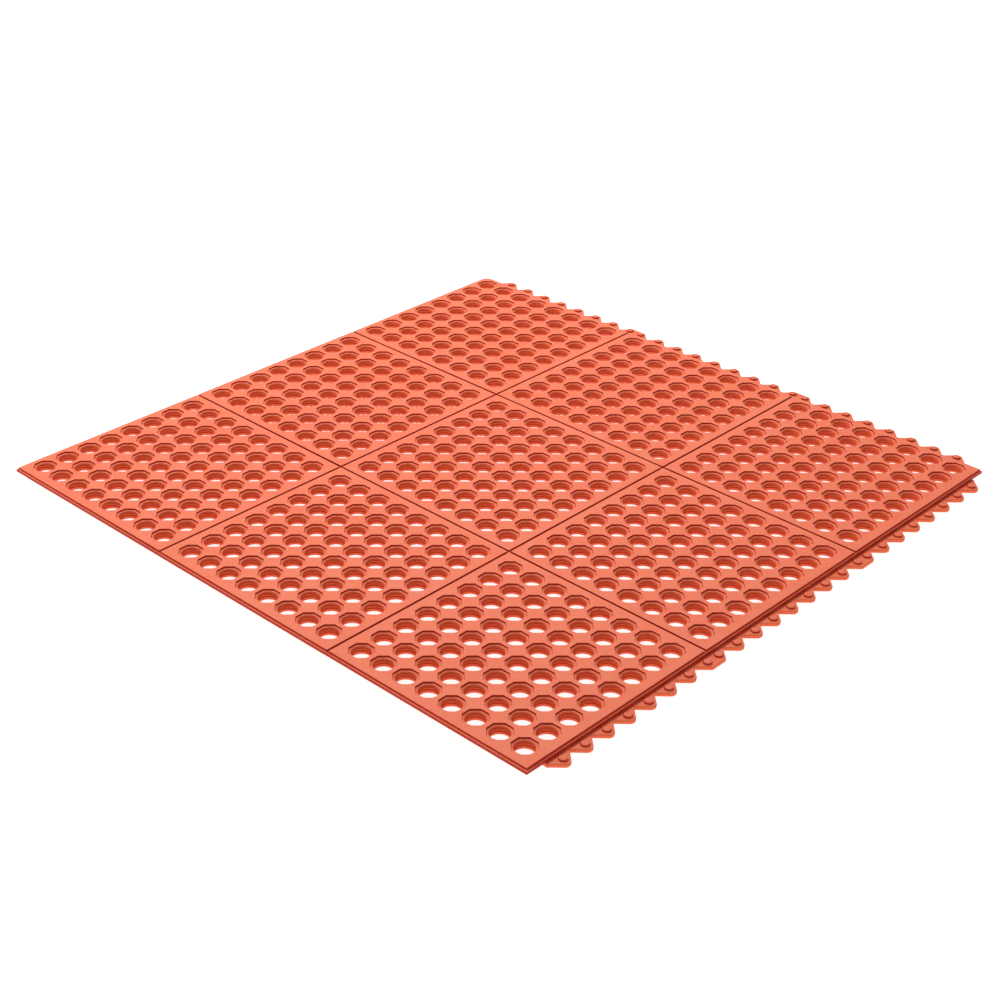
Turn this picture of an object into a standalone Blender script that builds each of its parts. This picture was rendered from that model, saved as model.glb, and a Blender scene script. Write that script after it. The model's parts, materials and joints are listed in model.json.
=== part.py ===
"""Interlocking rubber drainage mat, one square module of three by three panels.

The frame is +Z up, with the floor at zero and the origin under the middle of the centre panel.
East is +X and north is +Y. The east and north sides carry tabs with round knobs. The west and
south sides carry a lip that hooks over the knobs of the next mat. The panels are joined by thin
webs under straight grooves, and the mat folds along the two grooves that run north to south.
"""

import math

import bmesh
import bpy
from mathutils import Matrix, Vector

MM = 0.001

# Driving dimensions of the deck
PANEL_PITCH = 304.8 * MM
MAT_HEIGHT = 19.0 * MM
DECK_THICKNESS = 6.5 * MM
HOLES_A_SIDE = 8
HOLE_PITCH = 35.8 * MM
HOLE_FLATS = 30.5 * MM
HOLE_SIDES = 8
GROOVE_WIDTH = 3.0 * MM
WEB_HALF_WIDTH = 4.2 * MM
LEDGE_DROP = 2.6 * MM
LEDGE_WIDTH = 2.5 * MM
WIDE_EDGE = 457.2 * MM
NARROW_EDGE = 451.9 * MM
BORDER_START = 447.2 * MM
CORNER_RADIUS = 12.0 * MM
CORNER_POINTS = 7
FOOT_WIDTH = 12.0 * MM
FOOT_STEP = 2 * HOLE_PITCH
FOOT_PLACES = ((0, 0), (-1, -1), (1, -1), (1, 1), (-1, 1))

# Driving dimensions of the interlock
FLANGE_LOW = 7.2 * MM
FLANGE_THICKNESS = 5.0 * MM
TABS_A_PANEL = 7
TAB_VALLEY = 463.3 * MM
TAB_REACH = 478.0 * MM
TAB_TIP_RADIUS = 7.5 * MM
TAB_TIP_POINTS = 3
TAB_FLANK = math.radians(44)
BRIDGE_TIP_HALF = 11.4 * MM
BRIDGE_TIP_RADIUS = 2.0 * MM
BRIDGE_TIP_POINTS = 3
KNOB_PLACE = 468.5 * MM
KNOB_RADIUS = 5.5 * MM
KNOB_HEIGHT = 2.8 * MM
KNOB_SIDES = 6
BRIDGE_KNOB_PLACE = 10.5 * MM
SOCKET_HIGH = 15.3 * MM
SOCKET_INNER = 439.9 * MM

# Clearance between two pieces, and how far a cutter or a joined shape runs past the face it meets
GAP = 0.3 * MM
OVERRUN = 1.0 * MM
FAR_OUT = 600.0 * MM
DRAWING_TURN = math.radians(11)

# Corners nearer than this are welded, and faces this near to flat are made one
WELD_DISTANCE = 0.01 * MM
FLAT_ANGLE = math.radians(0.1)

# Heights and places that follow from them
DECK_LOW = MAT_HEIGHT - DECK_THICKNESS
LEDGE_HEIGHT = MAT_HEIGHT - LEDGE_DROP
FLANGE_HIGH = FLANGE_LOW + FLANGE_THICKNESS
GROOVE_LINE = PANEL_PITCH / 2
TAB_ROOT = TABS_A_PANEL * HOLE_PITCH / 2
HOLE_TURN = math.pi / HOLE_SIDES
HOLE_RADIUS = HOLE_FLATS / 2 / math.cos(HOLE_TURN)

RUBBER_RED = (0.72, 0.16, 0.085)
SIDES = (-1, 0, 1)
COLUMNS = {-1: "west", 0: "middle", 1: "east"}
ROWS = {-1: "south", 0: "middle", 1: "north"}


def clear_scene():
    """Remove every object, so that only the mat is left."""
    for obj in list(bpy.data.objects):
        bpy.data.objects.remove(obj)


def new_collection(name):
    """Link an empty collection to the scene."""
    collection = bpy.data.collections.new(name)
    bpy.context.scene.collection.children.link(collection)
    return collection


def rubber(name, shade):
    """The moulded rubber; the shade tells neighbouring pieces apart."""
    material = bpy.data.materials.new(name)
    material.use_nodes = True
    shader = material.node_tree.nodes["Principled BSDF"]
    shader.inputs["Base Color"].default_value = (*(part * shade for part in RUBBER_RED), 1.0)
    shader.inputs["Roughness"].default_value = 0.55
    shader.inputs["Metallic"].default_value = 0.0
    return material


def rectangle(x_low, x_high, y_low, y_high):
    """The corners of a rectangle, in order."""
    return [(x_low, y_low), (x_high, y_low), (x_high, y_high), (x_low, y_high)]


def regular_polygon(x, y, radius, sides, turn=0.0):
    """The corners of a regular polygon."""
    angles = [turn + 2 * math.pi * side / sides for side in range(sides)]
    return [(x + radius * math.cos(angle), y + radius * math.sin(angle)) for angle in angles]


def arc(x, y, radius, start, end, points):
    """Points along an arc, with both ends."""
    angles = [start + (end - start) * step / (points - 1) for step in range(points)]
    return [(x + radius * math.cos(angle), y + radius * math.sin(angle)) for angle in angles]


def round_north_west(outline, radius):
    """The outline with its north-west corner, the last of a rectangle, rounded."""
    x, y = outline[-1]
    turned = arc(x + radius, y - radius, radius, math.pi / 2, math.pi, CORNER_POINTS)
    return outline[:-1] + turned


def evaluated_mesh(obj):
    """The mesh of an object as its modifiers leave it."""
    graph = bpy.context.evaluated_depsgraph_get()
    return bpy.data.meshes.new_from_object(obj.evaluated_get(graph))


def tidy_faces(mesh):
    """Weld the mesh, then cut its flat faces again into as few triangles as they need."""
    work = bmesh.new()
    work.from_mesh(mesh)
    bmesh.ops.remove_doubles(work, verts=work.verts, dist=WELD_DISTANCE)
    bmesh.ops.dissolve_limit(
        work, angle_limit=FLAT_ANGLE, verts=work.verts, edges=work.edges
    )
    bmesh.ops.triangulate(work, faces=work.faces)
    work.to_mesh(mesh)
    work.free()


def slab(name, outlines, low, high):
    """A flat solid between two heights; an outline inside another one is a hole.

    It is drawn turned, because the fill of a curve tears where many corners share one level.
    """
    turn = Matrix.Rotation(DRAWING_TURN, 4, "Z")
    curve = bpy.data.curves.new(name, "CURVE")
    curve.dimensions = "2D"
    curve.fill_mode = "BOTH"
    curve.extrude = (high - low) / 2
    for outline in outlines:
        spline = curve.splines.new("POLY")
        spline.points.add(len(outline) - 1)
        spline.use_cyclic_u = True
        for point, (x, y) in zip(spline.points, outline):
            point.co = (*(turn @ Vector((x, y, 0))), 1)
    drawing = bpy.data.objects.new(name, curve)
    bpy.context.scene.collection.objects.link(drawing)
    mesh = evaluated_mesh(drawing)
    bpy.data.objects.remove(drawing)
    bpy.data.curves.remove(curve)
    mesh.name = name
    mesh.transform(Matrix.Translation((0, 0, (low + high) / 2)) @ turn.inverted())
    tidy_faces(mesh)
    return mesh


class Workshop:
    """Makes the pieces, and keeps them and their cutters in their collections."""

    def __init__(self):
        self.pieces = new_collection("drainage_mat")
        self.cutters = new_collection("mat_cutters")

    def piece(self, name, mesh, material):
        obj = bpy.data.objects.new(name, mesh)
        mesh.materials.clear()
        mesh.materials.append(material)
        self.pieces.objects.link(obj)
        return obj

    def cutter(self, name, outlines, low, high):
        obj = bpy.data.objects.new(name, slab(name, outlines, low, high))
        obj.hide_render = True
        obj.display_type = "WIRE"
        self.cutters.objects.link(obj)
        return obj

    def combine(self, piece, operation, tool):
        """Join a tool to the piece, or cut it away, and keep the result as the piece's mesh."""
        boolean = piece.modifiers.new(tool.name, "BOOLEAN")
        boolean.operation = operation
        boolean.object = tool
        material = piece.data.materials[0]
        mesh = evaluated_mesh(piece)
        piece.modifiers.remove(boolean)
        tidy_faces(mesh)
        mesh.name = piece.name
        mesh.materials.clear()
        mesh.materials.append(material)
        piece.data = mesh

    def join(self, piece, outlines, low, high):
        """Join flat solids between two heights to the piece."""
        extra = self.cutter(piece.name + "_extra", outlines, low, high)
        self.combine(piece, "UNION", extra)
        bpy.data.objects.remove(extra)


def segment(side, low_end, high_end):
    """Where the pieces of one column or row start and stop, between the webs or out to an end."""
    middle = GROOVE_LINE - WEB_HALF_WIDTH
    low = {-1: low_end, 0: -middle, 1: GROOVE_LINE + WEB_HALF_WIDTH}[side]
    high = {-1: -GROOVE_LINE - WEB_HALF_WIDTH, 0: middle, 1: high_end}[side]
    return low, high


def top_outline(out=0.0):
    """The edge of the top face, or a line further out, such as the edge of the ledge."""
    sides = rectangle(
        -NARROW_EDGE - out, WIDE_EDGE + out, -WIDE_EDGE - out, NARROW_EDGE + out
    )
    return round_north_west(sides, CORNER_RADIUS + out)


def shared_cutters(shop):
    """The ledge round the mat, the grooves, and the socket behind the west and south lips."""
    above = MAT_HEIGHT + OVERRUN
    beyond = rectangle(-FAR_OUT, FAR_OUT, -FAR_OUT, FAR_OUT)
    half = GROOVE_WIDTH / 2
    lines = (-GROOVE_LINE, GROOVE_LINE)
    north_south = [rectangle(line - half, line + half, -FAR_OUT, FAR_OUT) for line in lines]
    west_east = [rectangle(-FAR_OUT, FAR_OUT, line - half, line + half) for line in lines]
    end = BORDER_START - GAP
    socket = [
        (-NARROW_EDGE, -NARROW_EDGE),
        (end, -NARROW_EDGE),
        (end, -SOCKET_INNER),
        (-SOCKET_INNER, -SOCKET_INNER),
        (-SOCKET_INNER, end),
        (-NARROW_EDGE, end),
    ]
    return {
        "ledge": shop.cutter("ledge_cutter", [beyond, top_outline()], LEDGE_HEIGHT, above),
        "fold": shop.cutter("fold_groove_cutter", north_south, LEDGE_HEIGHT, above),
        "cross": shop.cutter("cross_groove_cutter", west_east, LEDGE_HEIGHT, above),
        "socket": shop.cutter("socket_cutter", [socket], DECK_LOW - OVERRUN, SOCKET_HIGH),
    }


def make_panel(shop, cutters, column, row, material):
    """One perforated panel, with its feet joined to its underside."""
    end = BORDER_START - GAP
    x, y = column * PANEL_PITCH, row * PANEL_PITCH
    outlines = [rectangle(*segment(column, -end, end), *segment(row, -end, end))]
    first = -(HOLES_A_SIDE - 1) / 2 * HOLE_PITCH
    places = [first + HOLE_PITCH * step for step in range(HOLES_A_SIDE)]
    for across in places:
        for along in places:
            hole = regular_polygon(x + across, y + along, HOLE_RADIUS, HOLE_SIDES, HOLE_TURN)
            outlines.append(hole)
    name = f"panel_{ROWS[row]}_{COLUMNS[column]}"
    panel = shop.piece(name, slab(name, outlines, DECK_LOW, MAT_HEIGHT), material)
    half = FOOT_WIDTH / 2
    feet = []
    for across, along in FOOT_PLACES:
        foot_x, foot_y = x + across * FOOT_STEP, y + along * FOOT_STEP
        feet.append(rectangle(foot_x - half, foot_x + half, foot_y - half, foot_y + half))
    shop.join(panel, feet, 0.0, DECK_LOW + OVERRUN)
    if column == -1 or row == -1:
        shop.combine(panel, "DIFFERENCE", cutters["socket"])


def placed(points, north):
    """Turn (along, out) points into (x, y) points on the north or the east side."""
    return points if north else [(out, along) for along, out in points]


def tab_row(middle, inner):
    """The outline of one panel's tabs, as (along, out) points, from its inner edge."""
    points = [(middle - TAB_ROOT, inner)]
    tip = TAB_REACH - TAB_TIP_RADIUS
    for tab in range(TABS_A_PANEL):
        along = middle - TAB_ROOT + HOLE_PITCH * (tab + 0.5)
        points.append((along - HOLE_PITCH / 2, TAB_VALLEY))
        points += arc(along, tip, TAB_TIP_RADIUS, math.pi - TAB_FLANK, TAB_FLANK, TAB_TIP_POINTS)
    return points + [(middle + TAB_ROOT, TAB_VALLEY), (middle + TAB_ROOT, inner)]


def knob_outlines(places, north):
    """The knobs' outlines, at the given places along a side."""
    turn = math.pi / KNOB_SIDES
    knobs = [regular_polygon(along, KNOB_PLACE, KNOB_RADIUS, KNOB_SIDES, turn) for along in places]
    return [placed(knob, north) for knob in knobs]


def make_tab_edge(shop, cutters, side, north, material):
    """The tabbed edge beside one panel of the north or the east side."""
    ledge = (NARROW_EDGE if north else WIDE_EDGE) + LEDGE_WIDTH
    end = BORDER_START - GAP
    if north:
        low, high = segment(side, -NARROW_EDGE - LEDGE_WIDTH, WIDE_EDGE + LEDGE_WIDTH)
        name = f"tab_edge_north_{COLUMNS[side]}"
        border = rectangle(low, high, BORDER_START, ledge)
    else:
        low, high = segment(side, -end, end)
        name = f"tab_edge_east_{ROWS[side]}"
        border = rectangle(BORDER_START, ledge, low, high)
    if north and side == -1:
        border = round_north_west(border, min(CORNER_RADIUS + LEDGE_WIDTH, ledge - BORDER_START))
    edge = shop.piece(name, slab(name, [border], DECK_LOW, MAT_HEIGHT), material)
    middle = side * PANEL_PITCH
    inner = BORDER_START + OVERRUN
    neck = [
        (middle - TAB_ROOT, inner),
        (middle - TAB_ROOT, ledge - OVERRUN),
        (middle + TAB_ROOT, ledge - OVERRUN),
        (middle + TAB_ROOT, inner),
    ]
    shop.join(edge, [placed(neck, north)], FLANGE_HIGH - OVERRUN, DECK_LOW + OVERRUN)
    shop.join(edge, [placed(tab_row(middle, inner), north)], FLANGE_LOW, FLANGE_HIGH)
    first = -(TABS_A_PANEL - 1) / 2
    places = [middle + HOLE_PITCH * (first + step) for step in range(TABS_A_PANEL)]
    knobs = knob_outlines(places, north)
    shop.join(edge, knobs, FLANGE_HIGH - OVERRUN, FLANGE_HIGH + KNOB_HEIGHT)
    shop.combine(edge, "DIFFERENCE", cutters["ledge"])


def make_bridge_tab(shop, groove, north, material):
    """The wide tab with two knobs at the end of a groove, where the flange has to bend."""
    inner = (NARROW_EDGE if north else WIDE_EDGE) + LEDGE_WIDTH + GAP
    root = GROOVE_LINE - TAB_ROOT - GAP
    middle = groove * GROOVE_LINE
    tip = TAB_REACH - BRIDGE_TIP_RADIUS
    outline = [(middle - root, inner), (middle - root, TAB_VALLEY)]
    quarter = math.pi / 2
    for end, start, stop in ((-1, math.pi - TAB_FLANK, quarter), (1, quarter, TAB_FLANK)):
        along = middle + end * BRIDGE_TIP_HALF
        outline += arc(along, tip, BRIDGE_TIP_RADIUS, start, stop, BRIDGE_TIP_POINTS)
    outline += [(middle + root, TAB_VALLEY), (middle + root, inner)]
    side = COLUMNS[groove] if north else ROWS[groove]
    name = f"bridge_tab_{'north' if north else 'east'}_{side}"
    mesh = slab(name, [placed(outline, north)], FLANGE_LOW, FLANGE_HIGH)
    tab = shop.piece(name, mesh, material)
    knobs = knob_outlines([middle - BRIDGE_KNOB_PLACE, middle + BRIDGE_KNOB_PLACE], north)
    shop.join(tab, knobs, FLANGE_HIGH - OVERRUN, FLANGE_HIGH + KNOB_HEIGHT)


def make_lip(shop, cutters, side, south, material):
    """The hooked lip beside one panel of the south or the west side."""
    end = BORDER_START - GAP
    if south:
        low, high = segment(side, -NARROW_EDGE - LEDGE_WIDTH, WIDE_EDGE + LEDGE_WIDTH)
        name = f"socket_lip_south_{COLUMNS[side]}"
        border = rectangle(low, high, -WIDE_EDGE - LEDGE_WIDTH, -BORDER_START)
    else:
        low, high = segment(side, -end, end)
        name = f"socket_lip_west_{ROWS[side]}"
        border = rectangle(-NARROW_EDGE - LEDGE_WIDTH, -BORDER_START, low, high)
    lip = shop.piece(name, slab(name, [border], DECK_LOW, MAT_HEIGHT), material)
    shop.combine(lip, "DIFFERENCE", cutters["socket"])
    shop.combine(lip, "DIFFERENCE", cutters["ledge"])


def make_fold_web(shop, cutters, groove, material):
    """The flexible web under one of the two grooves that the mat folds along."""
    half = WEB_HALF_WIDTH - GAP
    line = groove * GROOVE_LINE
    outline = rectangle(
        line - half, line + half, -WIDE_EDGE - LEDGE_WIDTH, NARROW_EDGE + LEDGE_WIDTH
    )
    name = f"fold_web_{COLUMNS[groove]}"
    web = shop.piece(name, slab(name, [outline], DECK_LOW, MAT_HEIGHT), material)
    for cutter in ("fold", "cross", "ledge"):
        shop.combine(web, "DIFFERENCE", cutters[cutter])


def make_cross_web(shop, cutters, groove, column, material):
    """The web under one column's stretch of a groove that runs west to east."""
    half = WEB_HALF_WIDTH - GAP
    line = groove * GROOVE_LINE
    low, high = segment(column, -NARROW_EDGE - LEDGE_WIDTH, WIDE_EDGE + LEDGE_WIDTH)
    name = f"cross_web_{ROWS[groove]}_{COLUMNS[column]}"
    outline = rectangle(low, high, line - half, line + half)
    web = shop.piece(name, slab(name, [outline], DECK_LOW, MAT_HEIGHT), material)
    for cutter in ("cross", "ledge"):
        shop.combine(web, "DIFFERENCE", cutters[cutter])


def main():
    clear_scene()
    shop = Workshop()
    cutters = shared_cutters(shop)
    deck = rubber("deck_rubber", 1.0)
    other_deck = rubber("deck_rubber_alternate", 0.86)
    edge = rubber("edge_rubber", 0.74)
    web = rubber("web_rubber", 0.5)
    for column in SIDES:
        for row in SIDES:
            shade = deck if (column + row) % 2 == 0 else other_deck
            make_panel(shop, cutters, column, row, shade)
    for side in SIDES:
        for across in (False, True):
            make_tab_edge(shop, cutters, side, across, edge)
            make_lip(shop, cutters, side, across, edge)
    for groove in (-1, 1):
        make_fold_web(shop, cutters, groove, web)
        for north in (False, True):
            make_bridge_tab(shop, groove, north, edge)
        for column in SIDES:
            make_cross_web(shop, cutters, groove, column, web)


main()
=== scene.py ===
"""Looks of the interlocking rubber drainage mat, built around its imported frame.

East is +X and north is +Y, and the floor is at zero. The mat is one square module of nine
perforated panels between straight grooves. Tabs with round knobs line the east and north sides.
A stepped lip lines the west and south sides. Lengths are in metres.
"""

import json
import math

import bmesh
import bpy
from bpy.props import FloatProperty, FloatVectorProperty, IntProperty, PointerProperty
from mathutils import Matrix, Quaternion, Vector


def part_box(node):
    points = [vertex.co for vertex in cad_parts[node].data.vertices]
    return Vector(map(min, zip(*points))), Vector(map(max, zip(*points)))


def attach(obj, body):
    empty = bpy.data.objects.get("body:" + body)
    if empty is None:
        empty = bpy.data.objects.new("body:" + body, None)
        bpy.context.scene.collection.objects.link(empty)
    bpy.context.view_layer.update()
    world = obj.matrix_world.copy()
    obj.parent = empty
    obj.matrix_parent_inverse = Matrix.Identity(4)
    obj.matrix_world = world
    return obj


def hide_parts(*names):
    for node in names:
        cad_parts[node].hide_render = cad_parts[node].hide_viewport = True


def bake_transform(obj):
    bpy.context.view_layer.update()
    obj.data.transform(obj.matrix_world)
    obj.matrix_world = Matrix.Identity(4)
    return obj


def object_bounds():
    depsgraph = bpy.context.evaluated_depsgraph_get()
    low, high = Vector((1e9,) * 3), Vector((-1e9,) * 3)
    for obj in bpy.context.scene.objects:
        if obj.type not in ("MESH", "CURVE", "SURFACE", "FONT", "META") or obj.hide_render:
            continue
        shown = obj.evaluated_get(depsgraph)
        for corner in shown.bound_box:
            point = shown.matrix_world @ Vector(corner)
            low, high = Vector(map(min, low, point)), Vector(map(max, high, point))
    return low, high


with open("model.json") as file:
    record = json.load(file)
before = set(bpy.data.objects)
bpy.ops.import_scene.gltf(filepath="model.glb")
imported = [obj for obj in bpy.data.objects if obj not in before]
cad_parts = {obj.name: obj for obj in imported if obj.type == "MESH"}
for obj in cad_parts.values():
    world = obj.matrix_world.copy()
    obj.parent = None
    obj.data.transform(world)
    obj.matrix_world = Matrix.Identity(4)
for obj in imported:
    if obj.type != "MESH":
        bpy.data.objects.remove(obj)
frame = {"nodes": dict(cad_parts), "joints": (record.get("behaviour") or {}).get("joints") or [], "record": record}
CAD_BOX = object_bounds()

bl_info = {
    "name": "Interlocking Drainage Mat",
    "version": (1, 0, 0),
    "blender": (4, 5, 0),
    "location": "3D View > Sidebar > Drainage Mat",
    "description": "Makes the moulded rubber mat and its stage around the measured frame",
    "category": "Object",
}

MM = 0.001
COLUMNS = {"west": -1, "middle": 0, "east": 1}
ROWS = {"south": -1, "middle": 0, "north": 1}
GROOVES_ACROSS = ("south", "north")
GROOVES_ALONG = ("west", "east")

# Lines and levels that every piece shares, read from the frame
FOLD = next(joint for joint in frame["joints"] if joint["name"] == "fold_east")
GROOVE_LINE = FOLD["pos_m"][0]
LEDGE_HIGH = FOLD["pos_m"][2]
PANEL_PITCH = 2 * GROOVE_LINE
PANEL_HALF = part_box("panel_middle_middle")[1].x
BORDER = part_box("tab_edge_east_middle")[0].x
TOP_HIGH = CAD_BOX[1].z
DECK_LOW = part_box("cross_web_south_middle")[0].z
FLANGE_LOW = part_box("bridge_tab_east_south")[0].z
KNOB_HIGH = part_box("bridge_tab_east_south")[1].z
TAB_REACH = CAD_BOX[1].x
MEETING_LINES = (PANEL_HALF, PANEL_PITCH - PANEL_HALF, BORDER)
BODY_OF = {
    node: body
    for body, members in frame["record"]["behaviour"]["bodies"].items()
    for node in members
}

# How near two points are when they are one, and how far a CAD face may stand off a meeting line
WELD = 0.01 * MM
STAND_OFF = 0.35 * MM

# Under the first angle an edge is no edge, and over the second it is a rim to be rounded
FLAT_ANGLE = math.radians(0.5)
SQUARE_ANGLE = math.radians(50)

# How near its normal is to an axis when a face counts as level or upright
LEVEL = 0.9999

VALUE = "NodeSocketFloat"
VECTOR = "NodeSocketVector"
COLOUR = "NodeSocketColor"


# ---- Sizes and colours ----

COLOUR_RANGE = {"size": 3, "min": 0.0, "max": 1.0}


class DeckSizes(bpy.types.PropertyGroup):
    """The perforated deck."""

    holes: IntProperty(name="Holes", description="Holes along a panel's side", default=8, min=2)
    pitch: FloatProperty(
        name="Pitch", description="From hole to hole", default=35.8 * MM, unit="LENGTH"
    )
    recess: FloatProperty(
        name="Recess",
        description="From a hole's centre to a flat of its eight-sided recess",
        default=14.9 * MM,
        unit="LENGTH",
    )
    bore: FloatProperty(
        name="Bore", description="Radius of the round bore", default=12.4 * MM, unit="LENGTH"
    )
    rim: FloatProperty(
        name="Hole rim", description="Rounding of a recess's rim", default=0.25 * MM, unit="LENGTH"
    )
    ledge_rise: FloatProperty(
        name="Ledge rise",
        description="How far a recess's bottom is above the grooves' bottoms",
        default=0.3 * MM,
        unit="LENGTH",
    )
    ring: FloatProperty(
        name="Ring",
        description="How far a ring stands into the bore",
        default=0.85 * MM,
        unit="LENGTH",
    )
    sleeve: FloatProperty(
        name="Sleeve",
        description="Radius outside the sleeve under a hole",
        default=14.9 * MM,
        unit="LENGTH",
    )
    sleeve_low: FloatProperty(
        name="Sleeve end",
        description="Height of the sleeves above the floor",
        default=5.8 * MM,
        unit="LENGTH",
    )
    foot: FloatProperty(
        name="Foot", description="Radius of a foot's sole", default=4.3 * MM, unit="LENGTH"
    )


class EdgeSizes(bpy.types.PropertyGroup):
    """The rounded rims of the border, the ledge and the grooves."""

    rim: FloatProperty(
        name="Rim", description="Rounding of the moulded rims", default=0.35 * MM, unit="LENGTH"
    )
    steps: IntProperty(name="Steps", description="Faces across a rounding", default=3, min=1)


class TabSizes(bpy.types.PropertyGroup):
    """The flange, its tabs and their knobs."""

    tabs: IntProperty(name="Tabs", description="Tabs beside a panel", default=7, min=1)
    flange_high: FloatProperty(
        name="Flange top", description="Height of the tabs' face", default=12.2 * MM, unit="LENGTH"
    )
    valley: FloatProperty(
        name="Valley", description="From the centre to a valley", default=463.3 * MM, unit="LENGTH"
    )
    valley_round: FloatProperty(
        name="Valley rounding", description="Radius in a valley", default=2.2 * MM, unit="LENGTH"
    )
    tip: FloatProperty(
        name="Tip", description="Radius of a tab's tip", default=7.5 * MM, unit="LENGTH"
    )
    bridge_tip: FloatProperty(
        name="Bridge corner",
        description="Radius of a bridge tab's corners",
        default=2.0 * MM,
        unit="LENGTH",
    )
    bridge_half: FloatProperty(
        name="Bridge half",
        description="From a bridge tab's middle to its corner's centre",
        default=11.4 * MM,
        unit="LENGTH",
    )
    flank: FloatProperty(
        name="Flank",
        description="Slope of a tab's sides",
        default=math.radians(44),
        subtype="ANGLE",
    )
    rounding: FloatProperty(
        name="Rounding", description="Rounding of a tab's edge", default=1.1 * MM, unit="LENGTH"
    )
    knob: FloatProperty(
        name="Knob", description="Radius of a knob", default=5.5 * MM, unit="LENGTH"
    )
    knob_place: FloatProperty(
        name="Knob place",
        description="From the centre to a knob",
        default=468.5 * MM,
        unit="LENGTH",
    )
    bridge_knob: FloatProperty(
        name="Bridge knob",
        description="From a bridge tab's middle to its knobs",
        default=10.5 * MM,
        unit="LENGTH",
    )


class RubberColours(bpy.types.PropertyGroup):
    """The moulded rubber."""

    body: FloatVectorProperty(
        name="Rubber",
        description="Colour of the rubber",
        default=(0.90, 0.19, 0.096),
        subtype="COLOR",
        **COLOUR_RANGE,
    )
    # Upright faces are darker than the rubber on top, partly because they keep no bloom and partly as painted
    # shade.
    wall: FloatVectorProperty(
        name="Wall",
        description="Colour of upright faces, which keep no bloom",
        default=(0.80, 0.14, 0.052),
        subtype="COLOR",
        **COLOUR_RANGE,
    )
    # Painted shade: upright faces high under the rims are darkened towards this colour.
    painted_shade_colour: FloatVectorProperty(
        name="Deep",
        description="Colour of the upright faces that dirt darkens, under the rims",
        default=(0.44, 0.022, 0.005),
        subtype="COLOR",
        **COLOUR_RANGE,
    )
    pale: FloatVectorProperty(
        name="Pale",
        description="Colour where the surface is rubbed or has bloomed",
        default=(0.94, 0.265, 0.152),
        subtype="COLOR",
        **COLOUR_RANGE,
    )
    roughness: FloatProperty(
        name="Roughness", description="Of the moulded face", default=0.5, min=0.0, max=1.0
    )


class StageSettings(bpy.types.PropertyGroup):
    """The floor, the lights and the camera."""

    floor: FloatVectorProperty(
        name="Floor",
        description="Colour of the floor",
        default=(0.5, 0.5, 0.5),
        subtype="COLOR",
        **COLOUR_RANGE,
    )
    floor_glow: FloatProperty(
        name="Floor glow", description="Light from the floor itself", default=0.9, min=0.0
    )
    sky: FloatProperty(
        name="Sky", description="Strength of the light from overhead", default=0.15, min=0.0
    )
    horizon: FloatProperty(
        name="Horizon", description="Strength of the pale walls round it", default=0.96, min=0.0
    )
    key: FloatProperty(
        name="Key", description="Power of the key light", default=42.5, unit="POWER"
    )
    top_share: FloatProperty(
        name="Top share", description="Power of the top light beside the key's", default=0.85
    )
    azimuth: FloatProperty(
        name="Azimuth",
        description="Where the camera stands, turned from south to east",
        default=math.radians(43.41),
        subtype="ANGLE",
    )
    elevation: FloatProperty(
        name="Elevation",
        description="How far the camera looks down",
        default=math.radians(30.17),
        subtype="ANGLE",
    )
    roll: FloatProperty(
        name="Roll", description="Turn of the camera", default=math.radians(0.88), subtype="ANGLE"
    )
    lens: FloatProperty(
        name="Lens", description="Focal length in millimetres", default=67.43, min=1.0
    )
    shift: FloatVectorProperty(
        name="Shift",
        description="How far the view is shifted across and up, in widths of its frame",
        default=(0.04, 0.006),
        size=2,
    )
    place: FloatVectorProperty(
        name="Place",
        description="Where the camera stands",
        default=(1.4670, -1.6317, 1.2325),
        subtype="XYZ",
        unit="LENGTH",
        size=3,
    )


# ---- Rubber ----

# Where the noises' factors begin and end to show
PIT_LIMITS = (0.35, 0.65)
PATCH_LIMITS = (0.75, 1.3)
RUB_LIMITS = (0.4, 0.75)

# How the finished face answers light, and how strongly its marks show
SPECULAR = 0.16
LAND_SHINE = -0.06
PIT_DULLNESS = 0.08
GRAIN_STRENGTH = 0.35
GRAIN_DEPTH = 0.25 * MM
# How far above its start the painted shade on upright faces fades in.
PAINTED_SHADE_FADE = 0.3 * MM
SCUFF_STRENGTH = 0.35

# How much of the bloomed paler look and painted light is kept low on the mat, and in a groove's bottom; what is
# taken away there is painted shade.
LOW_BLOOM_AND_LIGHT = 0.8
GROOVE_BLOOM_AND_LIGHT = -0.6


def new_group(name, inputs, outputs):
    """A shader node group and its inner ends; inputs map a socket's name to (type, default)."""
    group = bpy.data.node_groups.new(name, "ShaderNodeTree")
    for label, (kind, default) in inputs.items():
        socket = group.interface.new_socket(label, in_out="INPUT", socket_type=kind)
        if default is not None:
            socket.default_value = default
    for label, kind in outputs.items():
        group.interface.new_socket(label, in_out="OUTPUT", socket_type=kind)
    given = group.nodes.new("NodeGroupInput").outputs
    result = group.nodes.new("NodeGroupOutput").inputs
    return group, given, result


def add_node(tree, kind, inputs=None, **settings):
    """A node with its settings, and with its inputs linked from sockets or set to values."""
    node = tree.nodes.new(kind)
    for name, value in settings.items():
        setattr(node, name, value)
    for name, value in (inputs or {}).items():
        if isinstance(value, bpy.types.NodeSocket):
            tree.links.new(value, node.inputs[name])
        else:
            node.inputs[name].default_value = value
    return node


def noise(tree, place, scale, detail):
    """The factor of a noise."""
    inputs = {"Vector": place, "Scale": scale, "Detail": detail}
    return add_node(tree, "ShaderNodeTexNoise", inputs).outputs["Fac"]


def arithmetic(tree, operation, first, second):
    """The outcome of one step of arithmetic on two numbers or sockets."""
    inputs = {0: first, 1: second}
    return add_node(tree, "ShaderNodeMath", inputs, operation=operation).outputs["Value"]


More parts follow.
